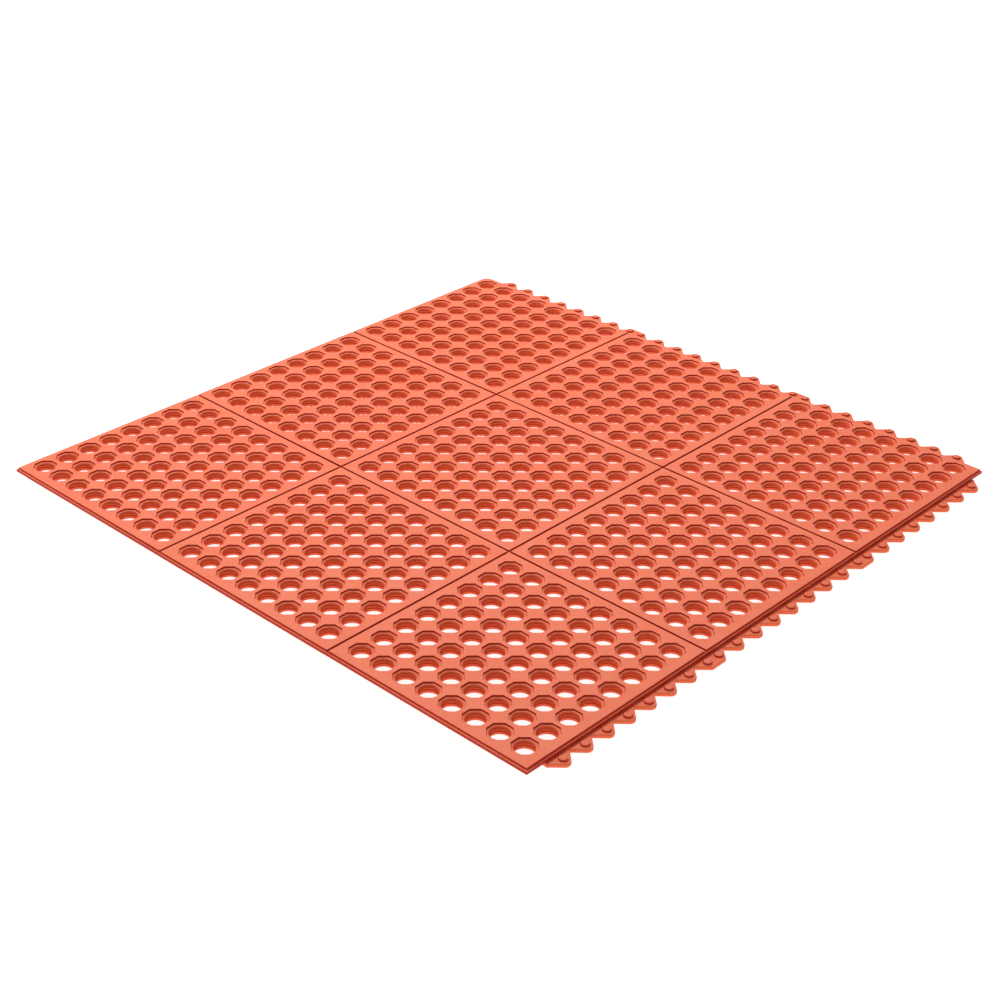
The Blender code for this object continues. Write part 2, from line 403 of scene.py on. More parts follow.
def ramp(tree, value, start, end, low=0.0, high=1.0, curve="LINEAR"):
    """A number that goes from low to high as a value goes from start to end."""
    inputs = {"Value": value, "From Min": start, "From Max": end, "To Min": low, "To Max": high}
    node = add_node(tree, "ShaderNodeMapRange", inputs, interpolation_type=curve)
    return node.outputs["Result"]


def mixed_colour(tree, share, first, second):
    """Two colours, mixed by the second one's share."""
    inputs = {0: share, 6: first, 7: second}
    return add_node(tree, "ShaderNodeMix", inputs, data_type="RGBA").outputs[2]


def height_of(tree, vector):
    """A vector's upward part."""
    return add_node(tree, "ShaderNodeSeparateXYZ", {"Vector": vector}).outputs["Z"]


def grain_group():
    """The fine pitting of a spark-eroded mould, over a softer unevenness."""
    group, given, result = new_group(
        "moulded_grain",
        {
            "Position": (VECTOR, None),
            "Pit Scale": (VALUE, 900.0),
            "Wave Scale": (VALUE, 110.0),
            "Wave Share": (VALUE, 0.6),
        },
        {"Height": VALUE, "Pits": VALUE},
    )
    pits = noise(group, given["Position"], given["Pit Scale"], 3.0)
    wave = noise(group, given["Position"], given["Wave Scale"], 2.0)
    mixed = add_node(
        group, "ShaderNodeMix", {0: given["Wave Share"], 2: pits, 3: wave}, data_type="FLOAT"
    )
    group.links.new(mixed.outputs[0], result["Height"])
    group.links.new(ramp(group, pits, *PIT_LIMITS, curve="SMOOTHSTEP"), result["Pits"])
    return group


def tone_group():
    """Slow changes of the rubber's colour, as the mix cures unevenly."""
    group, given, result = new_group(
        "cured_tone",
        {
            "Position": (VECTOR, None),
            "Rubber": (COLOUR, None),
            "Pale": (COLOUR, None),
            "Patch Scale": (VALUE, 9.0),
            "Fleck Scale": (VALUE, 160.0),
            "Share": (VALUE, 0.3),
        },
        {"Color": COLOUR},
    )
    patches = noise(group, given["Position"], given["Patch Scale"], 3.0)
    flecks = noise(group, given["Position"], given["Fleck Scale"], 4.0)
    together = arithmetic(group, "ADD", patches, flecks)
    spread = ramp(group, together, *PATCH_LIMITS, curve="SMOOTHSTEP")
    share = arithmetic(group, "MULTIPLY", spread, given["Share"])
    group.links.new(mixed_colour(group, share, given["Rubber"], given["Pale"]), result["Color"])
    return group


def scuff_group():
    """Where shoes rub: a mask that is full at the level of the top face and fades below it."""
    group, given, result = new_group(
        "tread_scuff",
        {
            "Position": (VECTOR, None),
            "Level": (VALUE, TOP_HIGH),
            "Depth": (VALUE, 0.6 * MM),
            "Scuff Scale": (VALUE, 45.0),
        },
        {"Mask": VALUE},
    )
    start = arithmetic(group, "SUBTRACT", given["Level"], given["Depth"])
    height = height_of(group, given["Position"])
    high = ramp(group, height, start, given["Level"], curve="SMOOTHSTEP")
    rubs = noise(group, given["Position"], given["Scuff Scale"], 5.0)
    broken = ramp(group, rubs, *RUB_LIMITS)
    group.links.new(arithmetic(group, "MULTIPLY", high, broken), result["Mask"])
    return group


def bloom_and_light_group():
    """Where the rubber has bloomed pale and where painted light falls: a mask that is full on faces that lie
    upwards and high, and smaller low down as painted shade.
    """
    group, given, result = new_group(
        "settled_bloom",
        {
            "Normal": (VECTOR, None),
            "Position": (VECTOR, None),
            "Bare": (VALUE, 0.5),
            "Full": (VALUE, 0.95),
            "Low": (VALUE, DECK_LOW),
            "High": (VALUE, TOP_HIGH - MM),
            "Low Share": (VALUE, LOW_BLOOM_AND_LIGHT),
        },
        {"Mask": VALUE},
    )
    upward = height_of(group, given["Normal"])
    level = ramp(group, upward, given["Bare"], given["Full"], curve="SMOOTHSTEP")
    height = height_of(group, given["Position"])
    share = ramp(group, height, given["Low"], given["High"], low=given["Low Share"])
    group.links.new(arithmetic(group, "MULTIPLY", level, share), result["Mask"])
    return group


EFFECTS = {
    "moulded_grain": grain_group,
    "cured_tone": tone_group,
    "tread_scuff": scuff_group,
    "settled_bloom": bloom_and_light_group,
}


def place_effect(tree, name, inputs):
    """Place one of the shared effects, built once, in a material with its own values."""
    group = bpy.data.node_groups.get(name) or EFFECTS[name]()
    return add_node(tree, "ShaderNodeGroup", inputs, node_tree=group).outputs


def rubber_material(name, colours, painted_shade_from=DECK_LOW, low_bloom_and_light=LOW_BLOOM_AND_LIGHT):
    """Satin moulded rubber, pitted and faintly uneven, slightly paler where it is trodden, paler on faces that lie
    upwards where the rubber has bloomed and as painted light, and darker on upright faces as painted shade.
    """
    material = bpy.data.materials.get(name)
    if material:
        return material
    material = bpy.data.materials.new(name)
    material.use_nodes = True
    tree = material.node_tree
    shader = tree.nodes["Principled BSDF"].inputs
    coordinates = add_node(tree, "ShaderNodeTexCoord").outputs
    place = {"Position": coordinates["Object"]}
    body, wall, painted_shade_colour, pale = (
        (*colour, 1.0) for colour in (colours.body, colours.wall, colours.painted_shade_colour, colours.pale)
    )
    tone = place_effect(tree, "cured_tone", {**place, "Rubber": body, "Pale": pale})
    grain = place_effect(tree, "moulded_grain", place)
    scuff = place_effect(tree, "tread_scuff", place)
    bloom_and_top_light = place_effect(
        tree, "settled_bloom", {**place, "Normal": coordinates["Normal"], "Low Share": low_bloom_and_light}
    )
    height = height_of(tree, coordinates["Object"])
    # Painted shade: upright faces darken above a height, under the rims.
    painted_shade = ramp(tree, height, painted_shade_from, painted_shade_from + PAINTED_SHADE_FADE)
    upright = mixed_colour(tree, painted_shade, wall, painted_shade_colour)
    # Faces that lie upwards take the paler tone, as bloom and as painted light.
    bloomed = mixed_colour(tree, bloom_and_top_light["Mask"], upright, tone["Color"])
    worn = arithmetic(tree, "MULTIPLY", scuff["Mask"], SCUFF_STRENGTH)
    tree.links.new(mixed_colour(tree, worn, bloomed, pale), shader["Base Color"])
    smooth, rough = colours.roughness + LAND_SHINE, colours.roughness + PIT_DULLNESS
    tree.links.new(ramp(tree, grain["Pits"], 0.0, 1.0, smooth, rough), shader["Roughness"])
    relief = add_node(
        tree,
        "ShaderNodeBump",
        {"Height": grain["Height"], "Strength": GRAIN_STRENGTH, "Distance": GRAIN_DEPTH},
    )
    tree.links.new(relief.outputs["Normal"], shader["Normal"])
    shader["Specular IOR Level"].default_value = SPECULAR
    return material


# ---- Mesh helpers ----


def mesh_from(work, name):
    """Turn a bmesh into a mesh and let the bmesh go."""
    mesh = bpy.data.meshes.new(name)
    work.to_mesh(mesh)
    work.free()
    stale_normals = mesh.attributes.get("custom_normal")
    if stale_normals:
        mesh.attributes.remove(stale_normals)
    return mesh


def new_object(name, mesh):
    """Link a mesh to the scene as an object at the origin."""
    obj = bpy.data.objects.new(name, mesh)
    bpy.context.scene.collection.objects.link(obj)
    return obj


def mark_smooth(work):
    """Level and upright faces are flat shaded; the roundings between them are smooth."""
    for face in work.faces:
        squared = max(abs(part) for part in face.normal)
        face.smooth = squared < LEVEL


def level_ring(work, spokes, height):
    """A ring of vertices at a height, from (radius, angle) pairs."""
    return [
        work.verts.new((radius * math.cos(angle), radius * math.sin(angle), height))
        for radius, angle in spokes
    ]


def turned_mesh(name, profile, sides):
    """A closed turned solid; the profile runs down its outside as (radius, height) pairs."""
    work = bmesh.new()
    angles = [2 * math.pi * (side + 0.5) / sides for side in range(sides)]
    rings = [level_ring(work, [(radius, a) for a in angles], height) for radius, height in profile]
    for upper, lower in zip(rings, rings[1:]):
        for side in range(sides):
            after = (side + 1) % sides
            work.faces.new((upper[side], lower[side], lower[after], upper[after])).smooth = True
    work.faces.new(rings[0])
    work.faces.new(reversed(rings[-1]))
    return mesh_from(work, name)


def seal(work):
    """Close the open ends of a run of repeated shapes."""
    bmesh.ops.remove_doubles(work, verts=work.verts, dist=WELD)
    open_edges = [edge for edge in work.edges if edge.is_boundary]
    bmesh.ops.holes_fill(work, edges=open_edges, sides=0)
    bmesh.ops.recalc_face_normals(work, faces=work.faces)


def realised(obj):
    """Replace an object's mesh and its modifier by the plain mesh that they give."""
    graph = bpy.context.evaluated_depsgraph_get()
    mesh = bpy.data.meshes.new_from_object(obj.evaluated_get(graph))
    obj.modifiers.clear()
    mesh.name = obj.name
    obj.data = mesh


def carry(obj, node):
    """Let a finished piece stand for a CAD node and move with the node's body."""
    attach(obj, BODY_OF[node])
    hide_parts(node)


def bend(obj, node):
    """Bake a piece that crosses a fold into its place and hide its CAD node; the piece is left unattached to any
    body.
    """
    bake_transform(obj)
    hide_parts(node)


# ---- Geometry Nodes trees ----


def new_geometry_tree(name, inputs):
    """A Geometry Nodes tree with named inputs, and the node that joins new shapes to its object."""
    tree = bpy.data.node_groups.new(name, "GeometryNodeTree")
    for label, kind in {"Geometry": "NodeSocketGeometry", **inputs}.items():
        tree.interface.new_socket(label, in_out="INPUT", socket_type=kind)
    tree.interface.new_socket("Geometry", in_out="OUTPUT", socket_type="NodeSocketGeometry")
    given = tree.nodes.new("NodeGroupInput").outputs
    joined = add_node(tree, "GeometryNodeJoinGeometry", {"Geometry": given["Geometry"]})
    return tree, given, joined


def place_copies(tree, joined, points, shape, **more):
    """Put copies of an object on points and join them to what is there."""
    part = add_node(tree, "GeometryNodeObjectInfo", {"Object": shape}).outputs["Geometry"]
    inputs = {"Points": points, "Instance": part, **more}
    copies = add_node(tree, "GeometryNodeInstanceOnPoints", inputs)
    tree.links.new(copies.outputs["Instances"], joined.inputs["Geometry"])


def finish_tree(tree, joined, material):
    """End a tree in Realize Instances and Set Material."""
    shapes = {"Geometry": joined.outputs["Geometry"]}
    real = add_node(tree, "GeometryNodeRealizeInstances", shapes)
    inputs = {"Geometry": real.outputs["Geometry"], "Material": material}
    coated = add_node(tree, "GeometryNodeSetMaterial", inputs)
    result = tree.nodes.new("NodeGroupOutput")
    tree.links.new(coated.outputs["Geometry"], result.inputs["Geometry"])


def set_inputs(obj, tree, values):
    """Add the tree to the object as a modifier and set its inputs by their identifiers."""
    modifier = obj.modifiers.new(tree.name, "NODES")
    modifier.node_group = tree
    for item in tree.interface.items_tree:
        if item.item_type == "SOCKET" and item.in_out == "INPUT" and item.name in values:
            modifier[item.identifier] = values[item.name]


def perforation_tree():
    """Repeats a hole on a square grid, with a foot under each crossing between four holes."""
    tree, given, joined = new_geometry_tree(
        "perforations",
        {
            "Hole": "NodeSocketObject",
            "Foot": "NodeSocketObject",
            "Holes": "NodeSocketInt",
            "Pitch": VALUE,
            "Centre": VECTOR,
            "Rubber": "NodeSocketMaterial",
        },
    )
    for shape, fewer in (("Hole", 0), ("Foot", 1)):
        count = arithmetic(tree, "SUBTRACT", given["Holes"], float(fewer))
        steps = arithmetic(tree, "SUBTRACT", count, 1.0)
        width = arithmetic(tree, "MULTIPLY", steps, given["Pitch"])
        grid = add_node(
            tree,
            "GeometryNodeMeshGrid",
            {"Size X": width, "Size Y": width, "Vertices X": count, "Vertices Y": count},
        )
        moved = add_node(
            tree,
            "GeometryNodeTransform",
            {"Geometry": grid.outputs["Mesh"], "Translation": given["Centre"]},
        )
        place_copies(tree, joined, moved.outputs["Geometry"], given[shape])
    finish_tree(tree, joined, given["Rubber"])
    return tree


def row_tree():
    """Repeats a tab or a knob in a straight row, turned to face out of the mat's side."""
    tree = bpy.data.node_groups.get("tab_row")
    if tree:
        return tree
    tree, given, joined = new_geometry_tree(
        "tab_row",
        {
            "Shape": "NodeSocketObject",
            "Count": "NodeSocketInt",
            "Start": VECTOR,
            "Step": VECTOR,
            "Turn": "NodeSocketRotation",
            "Rubber": "NodeSocketMaterial",
        },
    )
    line = add_node(
        tree,
        "GeometryNodeMeshLine",
        {"Count": given["Count"], "Start Location": given["Start"], "Offset": given["Step"]},
        mode="OFFSET",
    )
    place_copies(tree, joined, line.outputs["Mesh"], given["Shape"], Rotation=given["Turn"])
    finish_tree(tree, joined, given["Rubber"])
    return tree


# ---- The perforated panels ----

RING_SIDES = 16
RING_TURN = math.pi / 8
FOOT_SIDES = 12

# The small slopes and roundings of a hole's wall and a foot's sole
RECESS_SLOPE = 0.15 * MM
RECESS_FILLET = 0.2 * MM
BORE_RIM = 0.35 * MM
BORE_SLOPE = 0.2 * MM
RING_OVER = 0.55 * MM
RING_NOSE = 0.2 * MM
RING_UNDER = 0.9 * MM
SLEEVE_SLOPE = 0.6 * MM
SOLE_RIM = 0.6 * MM


def octagon_reach(angle):
    """How much further than its flats an octagon reaches at an angle."""
    eighth = math.pi / 4
    off_flat = (angle + eighth / 2) % eighth - eighth / 2
    return 1 / math.cos(off_flat)


def hole_profile(sizes):
    """The wall of a hole from the top face down its bore and up outside its sleeve.

    Each entry is (reach, height, eight-sided). Two soft rings run round the bore, where the
    parts of its core pin met.
    """
    bore, recess, low = sizes.bore, sizes.recess, sizes.sleeve_low
    ledge = LEDGE_HIGH + sizes.ledge_rise
    rings_apart = (ledge - low) / 3
    profile = [
        (recess + sizes.rim, TOP_HIGH, True),
        (recess, TOP_HIGH - sizes.rim, True),
        (recess - RECESS_SLOPE, ledge + RECESS_FILLET, True),
        (recess - RECESS_SLOPE - RECESS_FILLET, ledge, True),
        (bore + BORE_RIM, ledge, False),
        (bore, ledge - BORE_RIM, False),
    ]
    for ring in (1, 2):
        height = ledge - ring * rings_apart
        profile += [
            (bore + BORE_SLOPE, height + RING_OVER, False),
            (bore - sizes.ring, height + RING_NOSE, False),
            (bore + BORE_SLOPE, height - RING_UNDER, False),
        ]
    profile += [
        (bore - BORE_SLOPE, low, False),
        (sizes.sleeve - SLEEVE_SLOPE, low, False),
        (sizes.sleeve, DECK_LOW, False),
    ]
    return profile


def hole_cell(sizes):
    """One square of the deck around a hole, open at the sides where the next square joins."""
    work = bmesh.new()
    angles = [RING_TURN + 2 * math.pi * step / RING_SIDES for step in range(RING_SIDES)]
    rings = []
    for reach, height, eight_sided in hole_profile(sizes):
        spokes = [(reach * octagon_reach(a) if eight_sided else reach, a) for a in angles]
        rings.append(level_ring(work, spokes, height))
    for upper, lower in zip(rings, rings[1:]):
        for step in range(RING_SIDES):
            after = (step + 1) % RING_SIDES
            work.faces.new((upper[step], upper[after], lower[after], lower[step])).smooth = True
    half = sizes.pitch / 2
    quarter = RING_SIDES // 4
    for ring, height, upward in ((rings[0], TOP_HIGH, True), (rings[-1], DECK_LOW, False)):
        corners = [
            work.verts.new((half * across, half * along, height))
            for across, along in ((1, 1), (-1, 1), (-1, -1), (1, -1))
        ]
        for side in range(4):
            first = side * quarter + 1
            stretch = [ring[step % RING_SIDES] for step in range(first, first + quarter + 1)]
            outline = [corners[side], corners[(side + 1) % 4], *reversed(stretch)]
            work.faces.new(outline if upward else list(reversed(outline)))
    return mesh_from(work, "hole_cell")


def foot_mesh(sizes):
    """A round foot that tapers down from the deck, sunk a little into it."""
    sole = sizes.foot
    root, fillet = sole + 1.3 * MM, sole + 0.7 * MM
    profile = [
        (root + 0.1 * MM, DECK_LOW + 0.8 * MM),
        (root, DECK_LOW - 0.3 * MM),
        (fillet, DECK_LOW - 1.3 * MM),
        (sole, SOLE_RIM),
        (sole - SOLE_RIM, 0.0),
    ]
    return turned_mesh("foot", profile, FOOT_SIDES)


def panel_limits(column, row):
    """The south-west and north-east corners of a panel."""
    limits = []
    for place in (column, row):
        low = -BORDER if place == -1 else place * PANEL_PITCH - PANEL_HALF
        high = BORDER if place == 1 else place * PANEL_PITCH + PANEL_HALF
        limits.append((low, high))
    return limits


def border_mesh(name, limits, centre, sizes):
    """The deck of a panel outside its squares of holes, with the walls all round it.

    Every line of the squares runs on through the border, so that the two can be welded.
    """
    work = bmesh.new()
    lines = []
    spans = []
    half = sizes.holes * sizes.pitch / 2
    for (low, high), middle in zip(limits, centre):
        steps = [middle - half + sizes.pitch * step for step in range(sizes.holes + 1)]
        inside = [min(max(step, low), high) for step in steps]
        lines.append(sorted({low, high, *inside}))
        spans.append((inside[0], inside[-1]))
    xs, ys = lines

    def level_face(x_low, x_high, y_low, y_high, height, upward):
        corners = [(x_low, y_low), (x_high, y_low), (x_high, y_high), (x_low, y_high)]
        corners = corners if upward else reversed(corners)
        work.faces.new([work.verts.new((x, y, height)) for x, y in corners])

    def wall(start, end):
        low_edge = [(*start, DECK_LOW), (*end, DECK_LOW)]
        high_edge = [(*end, TOP_HIGH), (*start, TOP_HIGH)]
        work.faces.new([work.verts.new(point) for point in low_edge + high_edge])

    for x_low, x_high in zip(xs, xs[1:]):
        for y_low, y_high in zip(ys, ys[1:]):
            across = spans[0][0] <= x_low and x_high <= spans[0][1]
            along = spans[1][0] <= y_low and y_high <= spans[1][1]
            if not (across and along):
                level_face(x_low, x_high, y_low, y_high, TOP_HIGH, True)
                level_face(x_low, x_high, y_low, y_high, DECK_LOW, False)
    for low, high in zip(xs, xs[1:]):
        wall((low, ys[0]), (high, ys[0]))
        wall((high, ys[-1]), (low, ys[-1]))
    for low, high in zip(ys, ys[1:]):
        wall((xs[-1], low), (xs[-1], high))
        wall((xs[0], high), (xs[0], low))
    return mesh_from(work, name)


def trim_and_weld(obj, limits):
    """Pull what stands past a panel's limits back to them, and join the squares' edges."""
    work = bmesh.new()
    work.from_mesh(obj.data)
    for vert in work.verts:
        for axis, (low, high) in enumerate(limits):
            vert.co[axis] = min(max(vert.co[axis], low), high)
    bmesh.ops.remove_doubles(work, verts=work.verts, dist=WELD)
    work.to_mesh(obj.data)
    work.free()


class MAT_OT_panels(bpy.types.Operator):
    """Make the nine perforated panels with their sleeves and feet"""

    bl_idname = "drainage_mat.make_panels"
    bl_label = "Make panels"

    def execute(self, context):
        sizes = context.scene.mat_deck
        rubber = rubber_material("deck_rubber", context.scene.mat_rubber, painted_shade_from=LEDGE_HIGH)
        hole = new_object("hole_cell", hole_cell(sizes))
        foot = new_object("foot", foot_mesh(sizes))
        tree = perforation_tree()
        shapes = {
            "Hole": hole,
            "Foot": foot,
            "Holes": sizes.holes,
            "Pitch": sizes.pitch,
            "Rubber": rubber,
        }
        for column_name, column in COLUMNS.items():
            for row_name, row in ROWS.items():
                node = f"panel_{row_name}_{column_name}"
                limits = panel_limits(column, row)
                centre = (column * PANEL_PITCH, row * PANEL_PITCH)
                name = f"perforated_{node}"
                panel = new_object(name, border_mesh(name, limits, centre, sizes))
                set_inputs(panel, tree, {**shapes, "Centre": (*centre, 0.0)})
                realised(panel)
                trim_and_weld(panel, limits)
                carry(panel, node)
        bpy.data.objects.remove(hole)
        bpy.data.objects.remove(foot)
        return {"FINISHED"}


# ---- Pieces with stepped rims: webs, lips and the border behind the tabs ----


def moulded_copy(node, floor=None):
    """A welded copy of a CAD node that reaches its neighbours; nothing below the floor is kept."""
    work = bmesh.new()
    work.from_mesh(frame["nodes"][node].data)
    bmesh.ops.remove_doubles(work, verts=work.verts, dist=WELD)
    if floor is not None:
        everything = list(work.verts) + list(work.edges) + list(work.faces)
        cut = bmesh.ops.bisect_plane(
            work, geom=everything, plane_co=(0, 0, floor), plane_no=(0, 0, 1), clear_inner=True
        )
        edges = [part for part in cut["geom_cut"] if isinstance(part, bmesh.types.BMEdge)]
        bmesh.ops.holes_fill(work, edges=edges, sides=0)
    for vert in work.verts:
        for axis in (0, 1):
            place = vert.co[axis]
            for line in MEETING_LINES:
                if abs(abs(place) - line) < STAND_OFF:
                    vert.co[axis] = math.copysign(line, place)
    bmesh.ops.dissolve_limit(work, angle_limit=FLAT_ANGLE, verts=work.verts, edges=work.edges)
    return work


def drop_knobs(work, sizes):
    """Take the plain knobs off a cut copy, as turned ones stand in their place."""
    inner = sizes.knob_place - sizes.knob - KNOB_ROOT
    knobs = [vert for vert in work.verts if max(vert.co.x, vert.co.y) > inner]
    bmesh.ops.delete(work, geom=knobs, context="VERTS")


def on_meeting_line(edge):
    """Whether an edge lies where two pieces meet, and so stays sharp."""
    for axis in (0, 1):
        places = [vert.co[axis] for vert in edge.verts]
        for line in MEETING_LINES:
            if all(abs(abs(place) - line) < WELD for place in places):
                return True
    return False


def round_rims(work, sizes, lowest):
    """Round the moulded rims and inner corners, except where pieces meet or below a level."""
    edges = [
        edge
        for edge in work.edges
        if len(edge.link_faces) == 2
        and edge.calc_face_angle() > SQUARE_ANGLE
        and not on_meeting_line(edge)
        and min(vert.co.z for vert in edge.verts) > lowest
    ]
    bmesh.ops.bevel(
        work,
        geom=edges,
        offset=sizes.rim,
        offset_type="OFFSET",
        segments=sizes.steps,
        profile=0.5,
        affect="EDGES",
        clamp_overlap=True,
    )
    mark_smooth(work)


def carried_piece(context, node, rubber):
    """A rigid stepped piece, rounded from its CAD node."""
    work = moulded_copy(node)
    round_rims(work, context.scene.mat_edges, DECK_LOW - MM)
    piece = new_object(f"moulded_{node}", mesh_from(work, node))
    piece.data.materials.append(rubber)
    carry(piece, node)


class MAT_OT_cross_webs(bpy.types.Operator):
    """Make the stiff webs under the grooves that run west to east"""

    bl_idname = "drainage_mat.make_cross_webs"
    bl_label = "Make cross webs"

    def execute(self, context):
        rubber = rubber_material("web_rubber", context.scene.mat_rubber, low_bloom_and_light=GROOVE_BLOOM_AND_LIGHT)
        for groove in GROOVES_ACROSS:
            for column in COLUMNS:
                carried_piece(context, f"cross_web_{groove}_{column}", rubber)
        return {"FINISHED"}


# Where a fold web is cut so that it can bend, in millimetres from its fold line
FOLD_CUTS = (-3.4, -2.6, -1.0, -0.5, 0.0, 0.5, 1.0, 2.6, 3.4)


class MAT_OT_fold_webs(bpy.types.Operator):
    """Make the webs that bend where the mat folds"""

    bl_idname = "drainage_mat.make_fold_webs"
    bl_label = "Make fold webs"

    def execute(self, context):
        rubber = rubber_material("web_rubber", context.scene.mat_rubber, low_bloom_and_light=GROOVE_BLOOM_AND_LIGHT)
        for side in GROOVES_ALONG:
            node = f"fold_web_{side}"
            work = moulded_copy(node)
            round_rims(work, context.scene.mat_edges, DECK_LOW - MM)
            for offset in FOLD_CUTS:
                everything = list(work.verts) + list(work.edges) + list(work.faces)
                line = COLUMNS[side] * GROOVE_LINE + offset * MM
                bmesh.ops.bisect_plane(
                    work, geom=everything, plane_co=(line, 0, 0), plane_no=(1, 0, 0)
                )
            web = new_object(f"flexible_{node}", mesh_from(work, node))
            web.data.materials.append(rubber)
            bend(web, node)
        return {"FINISHED"}


class MAT_OT_lips(bpy.types.Operator):
    """Make the stepped lips along the west and south sides"""

    bl_idname = "drainage_mat.make_lips"
    bl_label = "Make lips"

    def execute(self, context):
        rubber = rubber_material("edge_rubber", context.scene.mat_rubber)
        nodes = [f"socket_lip_south_{column}" for column in COLUMNS]
        nodes += [f"socket_lip_west_{row}" for row in ROWS]
        for node in nodes:
            carried_piece(context, node, rubber)
        return {"FINISHED"}


# ---- Tabs and knobs ----

TIP_STEPS = 4
VALLEY_STEPS = 2
KNOB_SIDES = 18
UPPER_ROUNDING = (0, 30, 60, 90)

# How far a shape is rooted in its neighbour, and the small rim under a tab
INSIDE = 1.0 * MM
LOWER_RIM = 0.5 * MM

# A knob's soft rim, as (inset, drop) in millimetres, and the flare at its root
KNOB_RIM = ((2.4, 0.0), (1.2, 0.2), (0.4, 0.7), (0.0, 1.5))
KNOB_TAPER = 0.1 * MM
KNOB_ROOT = 0.5 * MM


def arc_points(centre, radius, start, end, steps):
    """Points along an arc, both ends included."""
    along, out = centre
    turns = [start + (end - start) * step / steps for step in range(steps + 1)]
    return [(along + radius * math.cos(a), out + radius * math.sin(a)) for a in turns]


def plate_outline(sizes, half, tip_half, tip_radius):
    """A tab's outline as (along, out) points, from the valley on one side to the other."""
    rise = math.pi / 2 - sizes.flank
    bottom = sizes.valley + sizes.valley_round
    points = arc_points(
        (-half, bottom), sizes.valley_round, -math.pi / 2, -math.pi / 2 + rise, VALLEY_STEPS
    )
    tip_out = TAB_REACH - tip_radius
    points += arc_points(
        (-tip_half, tip_out), tip_radius, math.pi - sizes.flank, math.pi / 2, TIP_STEPS
    )
    right = [(-along, out) for along, out in reversed(points)]
    if tip_half == 0:
        right = right[1:]
    return points + right


def plate_mesh(name, sizes, outline, inner):
    """A flat tab with rounded edges, lying at +X, open at both ends of its run."""
    work = bmesh.new()
    straight_out = Vector((0.0, 1.0))
    normals = [straight_out]
    for before, after in zip(outline, outline[2:]):
        direction = Vector((after[0] - before[0], after[1] - before[1])).normalized()
        normals.append(Vector((-direction.y, direction.x)))
    normals.append(straight_out)
    radius = sizes.rounding
    levels = [(LOWER_RIM, FLANGE_LOW), (0.0, FLANGE_LOW + LOWER_RIM)]
    for angle in UPPER_ROUNDING:
        turn = math.radians(angle)
        inset = radius * (1 - math.cos(turn))
        levels.append((inset, sizes.flange_high - radius * (1 - math.sin(turn))))
    rings = [
        [
            work.verts.new((out - inset * normal.y, along - inset * normal.x, height))
            for (along, out), normal in zip(outline, normals)
        ]
        for inset, height in levels
    ]
    for lower, upper in zip(rings, rings[1:]):
        for index in range(len(outline) - 1):
            corners = (lower[index + 1], lower[index], upper[index], upper[index + 1])
            work.faces.new(corners).smooth = True
    first, last = outline[0][0], outline[-1][0]
    backs = []
    for height in (FLANGE_LOW, sizes.flange_high):
        backs.append([work.verts.new((inner, along, height)) for along in (first, last)])
    work.faces.new([backs[1][0], *rings[-1], backs[1][1]])
    work.faces.new([backs[0][1], *reversed(rings[0]), backs[0][0]])
    work.faces.new((backs[0][0], backs[1][0], backs[1][1], backs[0][1]))
    bmesh.ops.recalc_face_normals(work, faces=work.faces)
    return mesh_from(work, name)


def knob_mesh(sizes, out):
    """A round knob with a soft rim, rooted in the face of its tab, at its place along +X."""
    radius, base = sizes.knob, sizes.flange_high
    rim = [(radius - inset * MM, KNOB_HIGH - drop * MM) for inset, drop in KNOB_RIM]
    root = [
        (radius + KNOB_TAPER, base + KNOB_ROOT - KNOB_TAPER),
        (radius + KNOB_ROOT, base),
        (radius + KNOB_ROOT, base - INSIDE),
    ]
    mesh = turned_mesh("knob", rim + root, KNOB_SIDES)
    for vert in mesh.vertices:
        vert.co.x += out
    return mesh


def side_frame(north):
    """The turn that takes a shape lying at +X to the north or east side, and the run's way."""
    if north:
        return (0.0, 0.0, math.pi / 2), Vector((-1.0, 0.0, 0.0))
    return (0.0, 0.0, 0.0), Vector((0.0, 1.0, 0.0))


class MAT_OT_tab_edges(bpy.types.Operator):
    """Make the border behind the tabs with its rows of tabs and knobs"""

    bl_idname = "drainage_mat.make_tab_edges"
    bl_label = "Make tab edges"

    def execute(self, context):
        sizes = context.scene.mat_tabs
        pitch = context.scene.mat_deck.pitch
        rubber = rubber_material("edge_rubber", context.scene.mat_rubber)
        outline = plate_outline(sizes, pitch / 2, 0.0, sizes.tip)
        tab = new_object("tab", plate_mesh("tab", sizes, outline, BORDER + INSIDE))
        knob = new_object("knob", knob_mesh(sizes, sizes.knob_place))
        tree = row_tree()
        for north in (False, True):
            turn, way = side_frame(north)
            for name, place in (COLUMNS if north else ROWS).items():
                node = f"tab_edge_{'north' if north else 'east'}_{name}"
                run = new_object(f"flange_of_{node}", bpy.data.meshes.new(node))
                along = place * (-1 if north else 1) * PANEL_PITCH
                first = along - (sizes.tabs - 1) / 2 * pitch
                row = {
                    "Count": sizes.tabs,
                    "Start": way * first,
                    "Step": way * pitch,
                    "Turn": turn,
                    "Rubber": rubber,
                }
                set_inputs(run, tree, {"Shape": tab, **row})
                realised(run)
                work = moulded_copy(node, floor=sizes.flange_high + WELD)
                drop_knobs(work, sizes)
                round_rims(work, context.scene.mat_edges, DECK_LOW + WELD)
                flange = bmesh.new()
                flange.from_mesh(run.data)
                seal(flange)
                work.from_mesh(mesh_from(flange, "flange"))
                edge = new_object(f"moulded_{node}", mesh_from(work, node))
                bpy.data.objects.remove(run)
                set_inputs(edge, tree, {"Shape": knob, **row})
                realised(edge)
                carry(edge, node)
        bpy.data.objects.remove(tab)
        bpy.data.objects.remove(knob)
        return {"FINISHED"}


